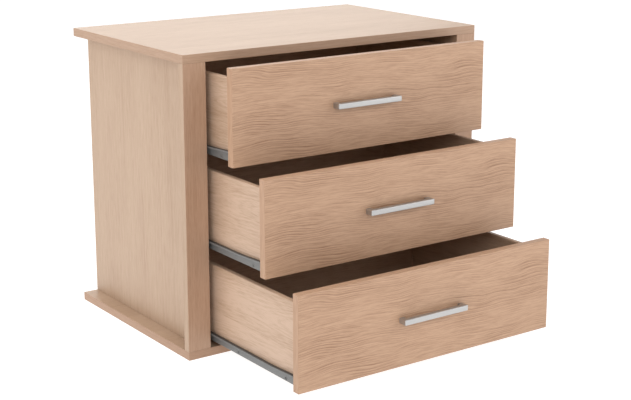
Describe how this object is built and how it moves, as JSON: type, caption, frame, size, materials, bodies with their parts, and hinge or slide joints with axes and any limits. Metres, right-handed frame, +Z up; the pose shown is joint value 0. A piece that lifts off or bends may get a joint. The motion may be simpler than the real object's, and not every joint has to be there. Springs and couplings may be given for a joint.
{
  "type": "wardrobe drawer insert",
  "caption": "Low oak-effect chest that stands inside a wardrobe, with inset drawers on side-mounted roller runners, bar handles and a base board wider than its sides.",
  "frame": {"origin": "centre of the base board's underside, midway across its width and depth", "axes": "+X to the right as seen from the front, +Y to the back, so the drawers open along -Y, +Z up"},
  "size_m": [0.8, 0.865, 0.67],
  "materials": {
    "oak_board": "matt oak-effect foil with a fine grain",
    "drawer_side_oak": "matt oak-effect foil",
    "hardboard": "hardboard printed in the boards' oak tone, raw brown behind",
    "runner_steel": "grey powder coat",
    "roller_nylon": "moulded nylon",
    "zinc_fitting": "bright zinc plate",
    "satin_handle": "satin",
    "beech_dowel": "turned and fluted beech"
  },
  "bodies": {
    "carcass": {"top_panel": "oak_board", "bottom_panel": "oak_board", "left_side_panel": "oak_board", "right_side_panel": "oak_board", "left_stile": "oak_board", "right_stile": "oak_board", "back_panel": "hardboard", "cam_fittings": "zinc_fitting", "carcass_dowels": "beech_dowel", "base_screws": "zinc_fitting", "rail_screws": "zinc_fitting", "rail_axles": "zinc_fitting", "bottom_left_rail": "runner_steel", "bottom_right_rail": "runner_steel", "middle_left_rail": "runner_steel", "middle_right_rail": "runner_steel", "top_left_rail": "runner_steel", "top_right_rail": "runner_steel"},
    "bottom_drawer": {"bottom_drawer_front": "oak_board", "bottom_drawer_left_side": "drawer_side_oak", "bottom_drawer_right_side": "drawer_side_oak", "bottom_drawer_back": "drawer_side_oak", "bottom_drawer_bottom": "hardboard", "bottom_drawer_handle": "satin_handle", "bottom_drawer_handle_screws": "zinc_fitting", "bottom_drawer_dowels": "beech_dowel", "bottom_drawer_left_slider": "runner_steel", "bottom_drawer_right_slider": "runner_steel", "bottom_drawer_slider_screws": "zinc_fitting", "bottom_drawer_axles": "zinc_fitting"},
    "bottom_drawer_rollers": {"bottom_drawer_rollers": "roller_nylon"},
    "bottom_rail_rollers": {"bottom_rail_rollers": "roller_nylon"},
    "middle_drawer": {"middle_drawer_front": "oak_board", "middle_drawer_left_side": "drawer_side_oak", "middle_drawer_right_side": "drawer_side_oak", "middle_drawer_back": "drawer_side_oak", "middle_drawer_bottom": "hardboard", "middle_drawer_handle": "satin_handle", "middle_drawer_handle_screws": "zinc_fitting", "middle_drawer_dowels": "beech_dowel", "middle_drawer_left_slider": "runner_steel", "middle_drawer_right_slider": "runner_steel", "middle_drawer_slider_screws": "zinc_fitting", "middle_drawer_axles": "zinc_fitting"},
    "middle_drawer_rollers": {"middle_drawer_rollers": "roller_nylon"},
    "middle_rail_rollers": {"middle_rail_rollers": "roller_nylon"},
    "top_drawer": {"top_drawer_front": "oak_board", "top_drawer_left_side": "drawer_side_oak", "top_drawer_right_side": "drawer_side_oak", "top_drawer_back": "drawer_side_oak", "top_drawer_bottom": "hardboard", "top_drawer_handle": "satin_handle", "top_drawer_handle_screws": "zinc_fitting", "top_drawer_dowels": "beech_dowel", "top_drawer_left_slider": "runner_steel", "top_drawer_right_slider": "runner_steel", "top_drawer_slider_screws": "zinc_fitting", "top_drawer_axles": "zinc_fitting"},
    "top_drawer_rollers": {"top_drawer_rollers": "roller_nylon"},
    "top_rail_rollers": {"top_rail_rollers": "roller_nylon"}
  },
  "joints": [
    {"name": "bottom_drawer_slide", "type": "slide", "parent": "carcass", "child": "bottom_drawer", "axis": [0, -1, 0], "range_m": [-0.334, 0.016]},
    {"name": "bottom_rail_rollers_turn", "type": "hinge", "parent": "carcass", "child": "bottom_rail_rollers", "pos_m": [0, -0.221, 0.03765], "axis": [1, 0, 0], "continuous": true},
    {"name": "bottom_drawer_rollers_turn", "type": "hinge", "parent": "bottom_drawer", "child": "bottom_drawer_rollers", "pos_m": [0, -0.133, 0.0389], "axis": [1, 0, 0], "continuous": true},
    {"name": "middle_drawer_slide", "type": "slide", "parent": "carcass", "child": "middle_drawer", "axis": [0, -1, 0], "range_m": [-0.216, 0.134]},
    {"name": "middle_rail_rollers_turn", "type": "hinge", "parent": "carcass", "child": "middle_rail_rollers", "pos_m": [0, -0.221, 0.24765], "axis": [1, 0, 0], "continuous": true},
    {"name": "middle_drawer_rollers_turn", "type": "hinge", "parent": "middle_drawer", "child": "middle_drawer_rollers", "pos_m": [0, -0.015, 0.2489], "axis": [1, 0, 0], "continuous": true},
    {"name": "top_drawer_slide", "type": "slide", "parent": "carcass", "child": "top_drawer", "axis": [0, -1, 0], "range_m": [-0.098, 0.252]},
    {"name": "top_rail_rollers_turn", "type": "hinge", "parent": "carcass", "child": "top_rail_rollers", "pos_m": [0, -0.221, 0.45765], "axis": [1, 0, 0], "continuous": true},
    {"name": "top_drawer_rollers_turn", "type": "hinge", "parent": "top_drawer", "child": "top_drawer_rollers", "pos_m": [0, 0.103, 0.4589], "axis": [1, 0, 0], "continuous": true}
  ],
  "couplings": [
    {"joint": "bottom_rail_rollers_turn", "follows": "bottom_drawer_slide", "rad_per_m": 90.909},
    {"joint": "bottom_drawer_rollers_turn", "follows": "bottom_drawer_slide", "rad_per_m": 81.633},
    {"joint": "middle_rail_rollers_turn", "follows": "middle_drawer_slide", "rad_per_m": 90.909},
    {"joint": "middle_drawer_rollers_turn", "follows": "middle_drawer_slide", "rad_per_m": 81.633},
    {"joint": "top_rail_rollers_turn", "follows": "top_drawer_slide", "rad_per_m": 90.909},
    {"joint": "top_drawer_rollers_turn", "follows": "top_drawer_slide", "rad_per_m": 81.633}
  ]
}
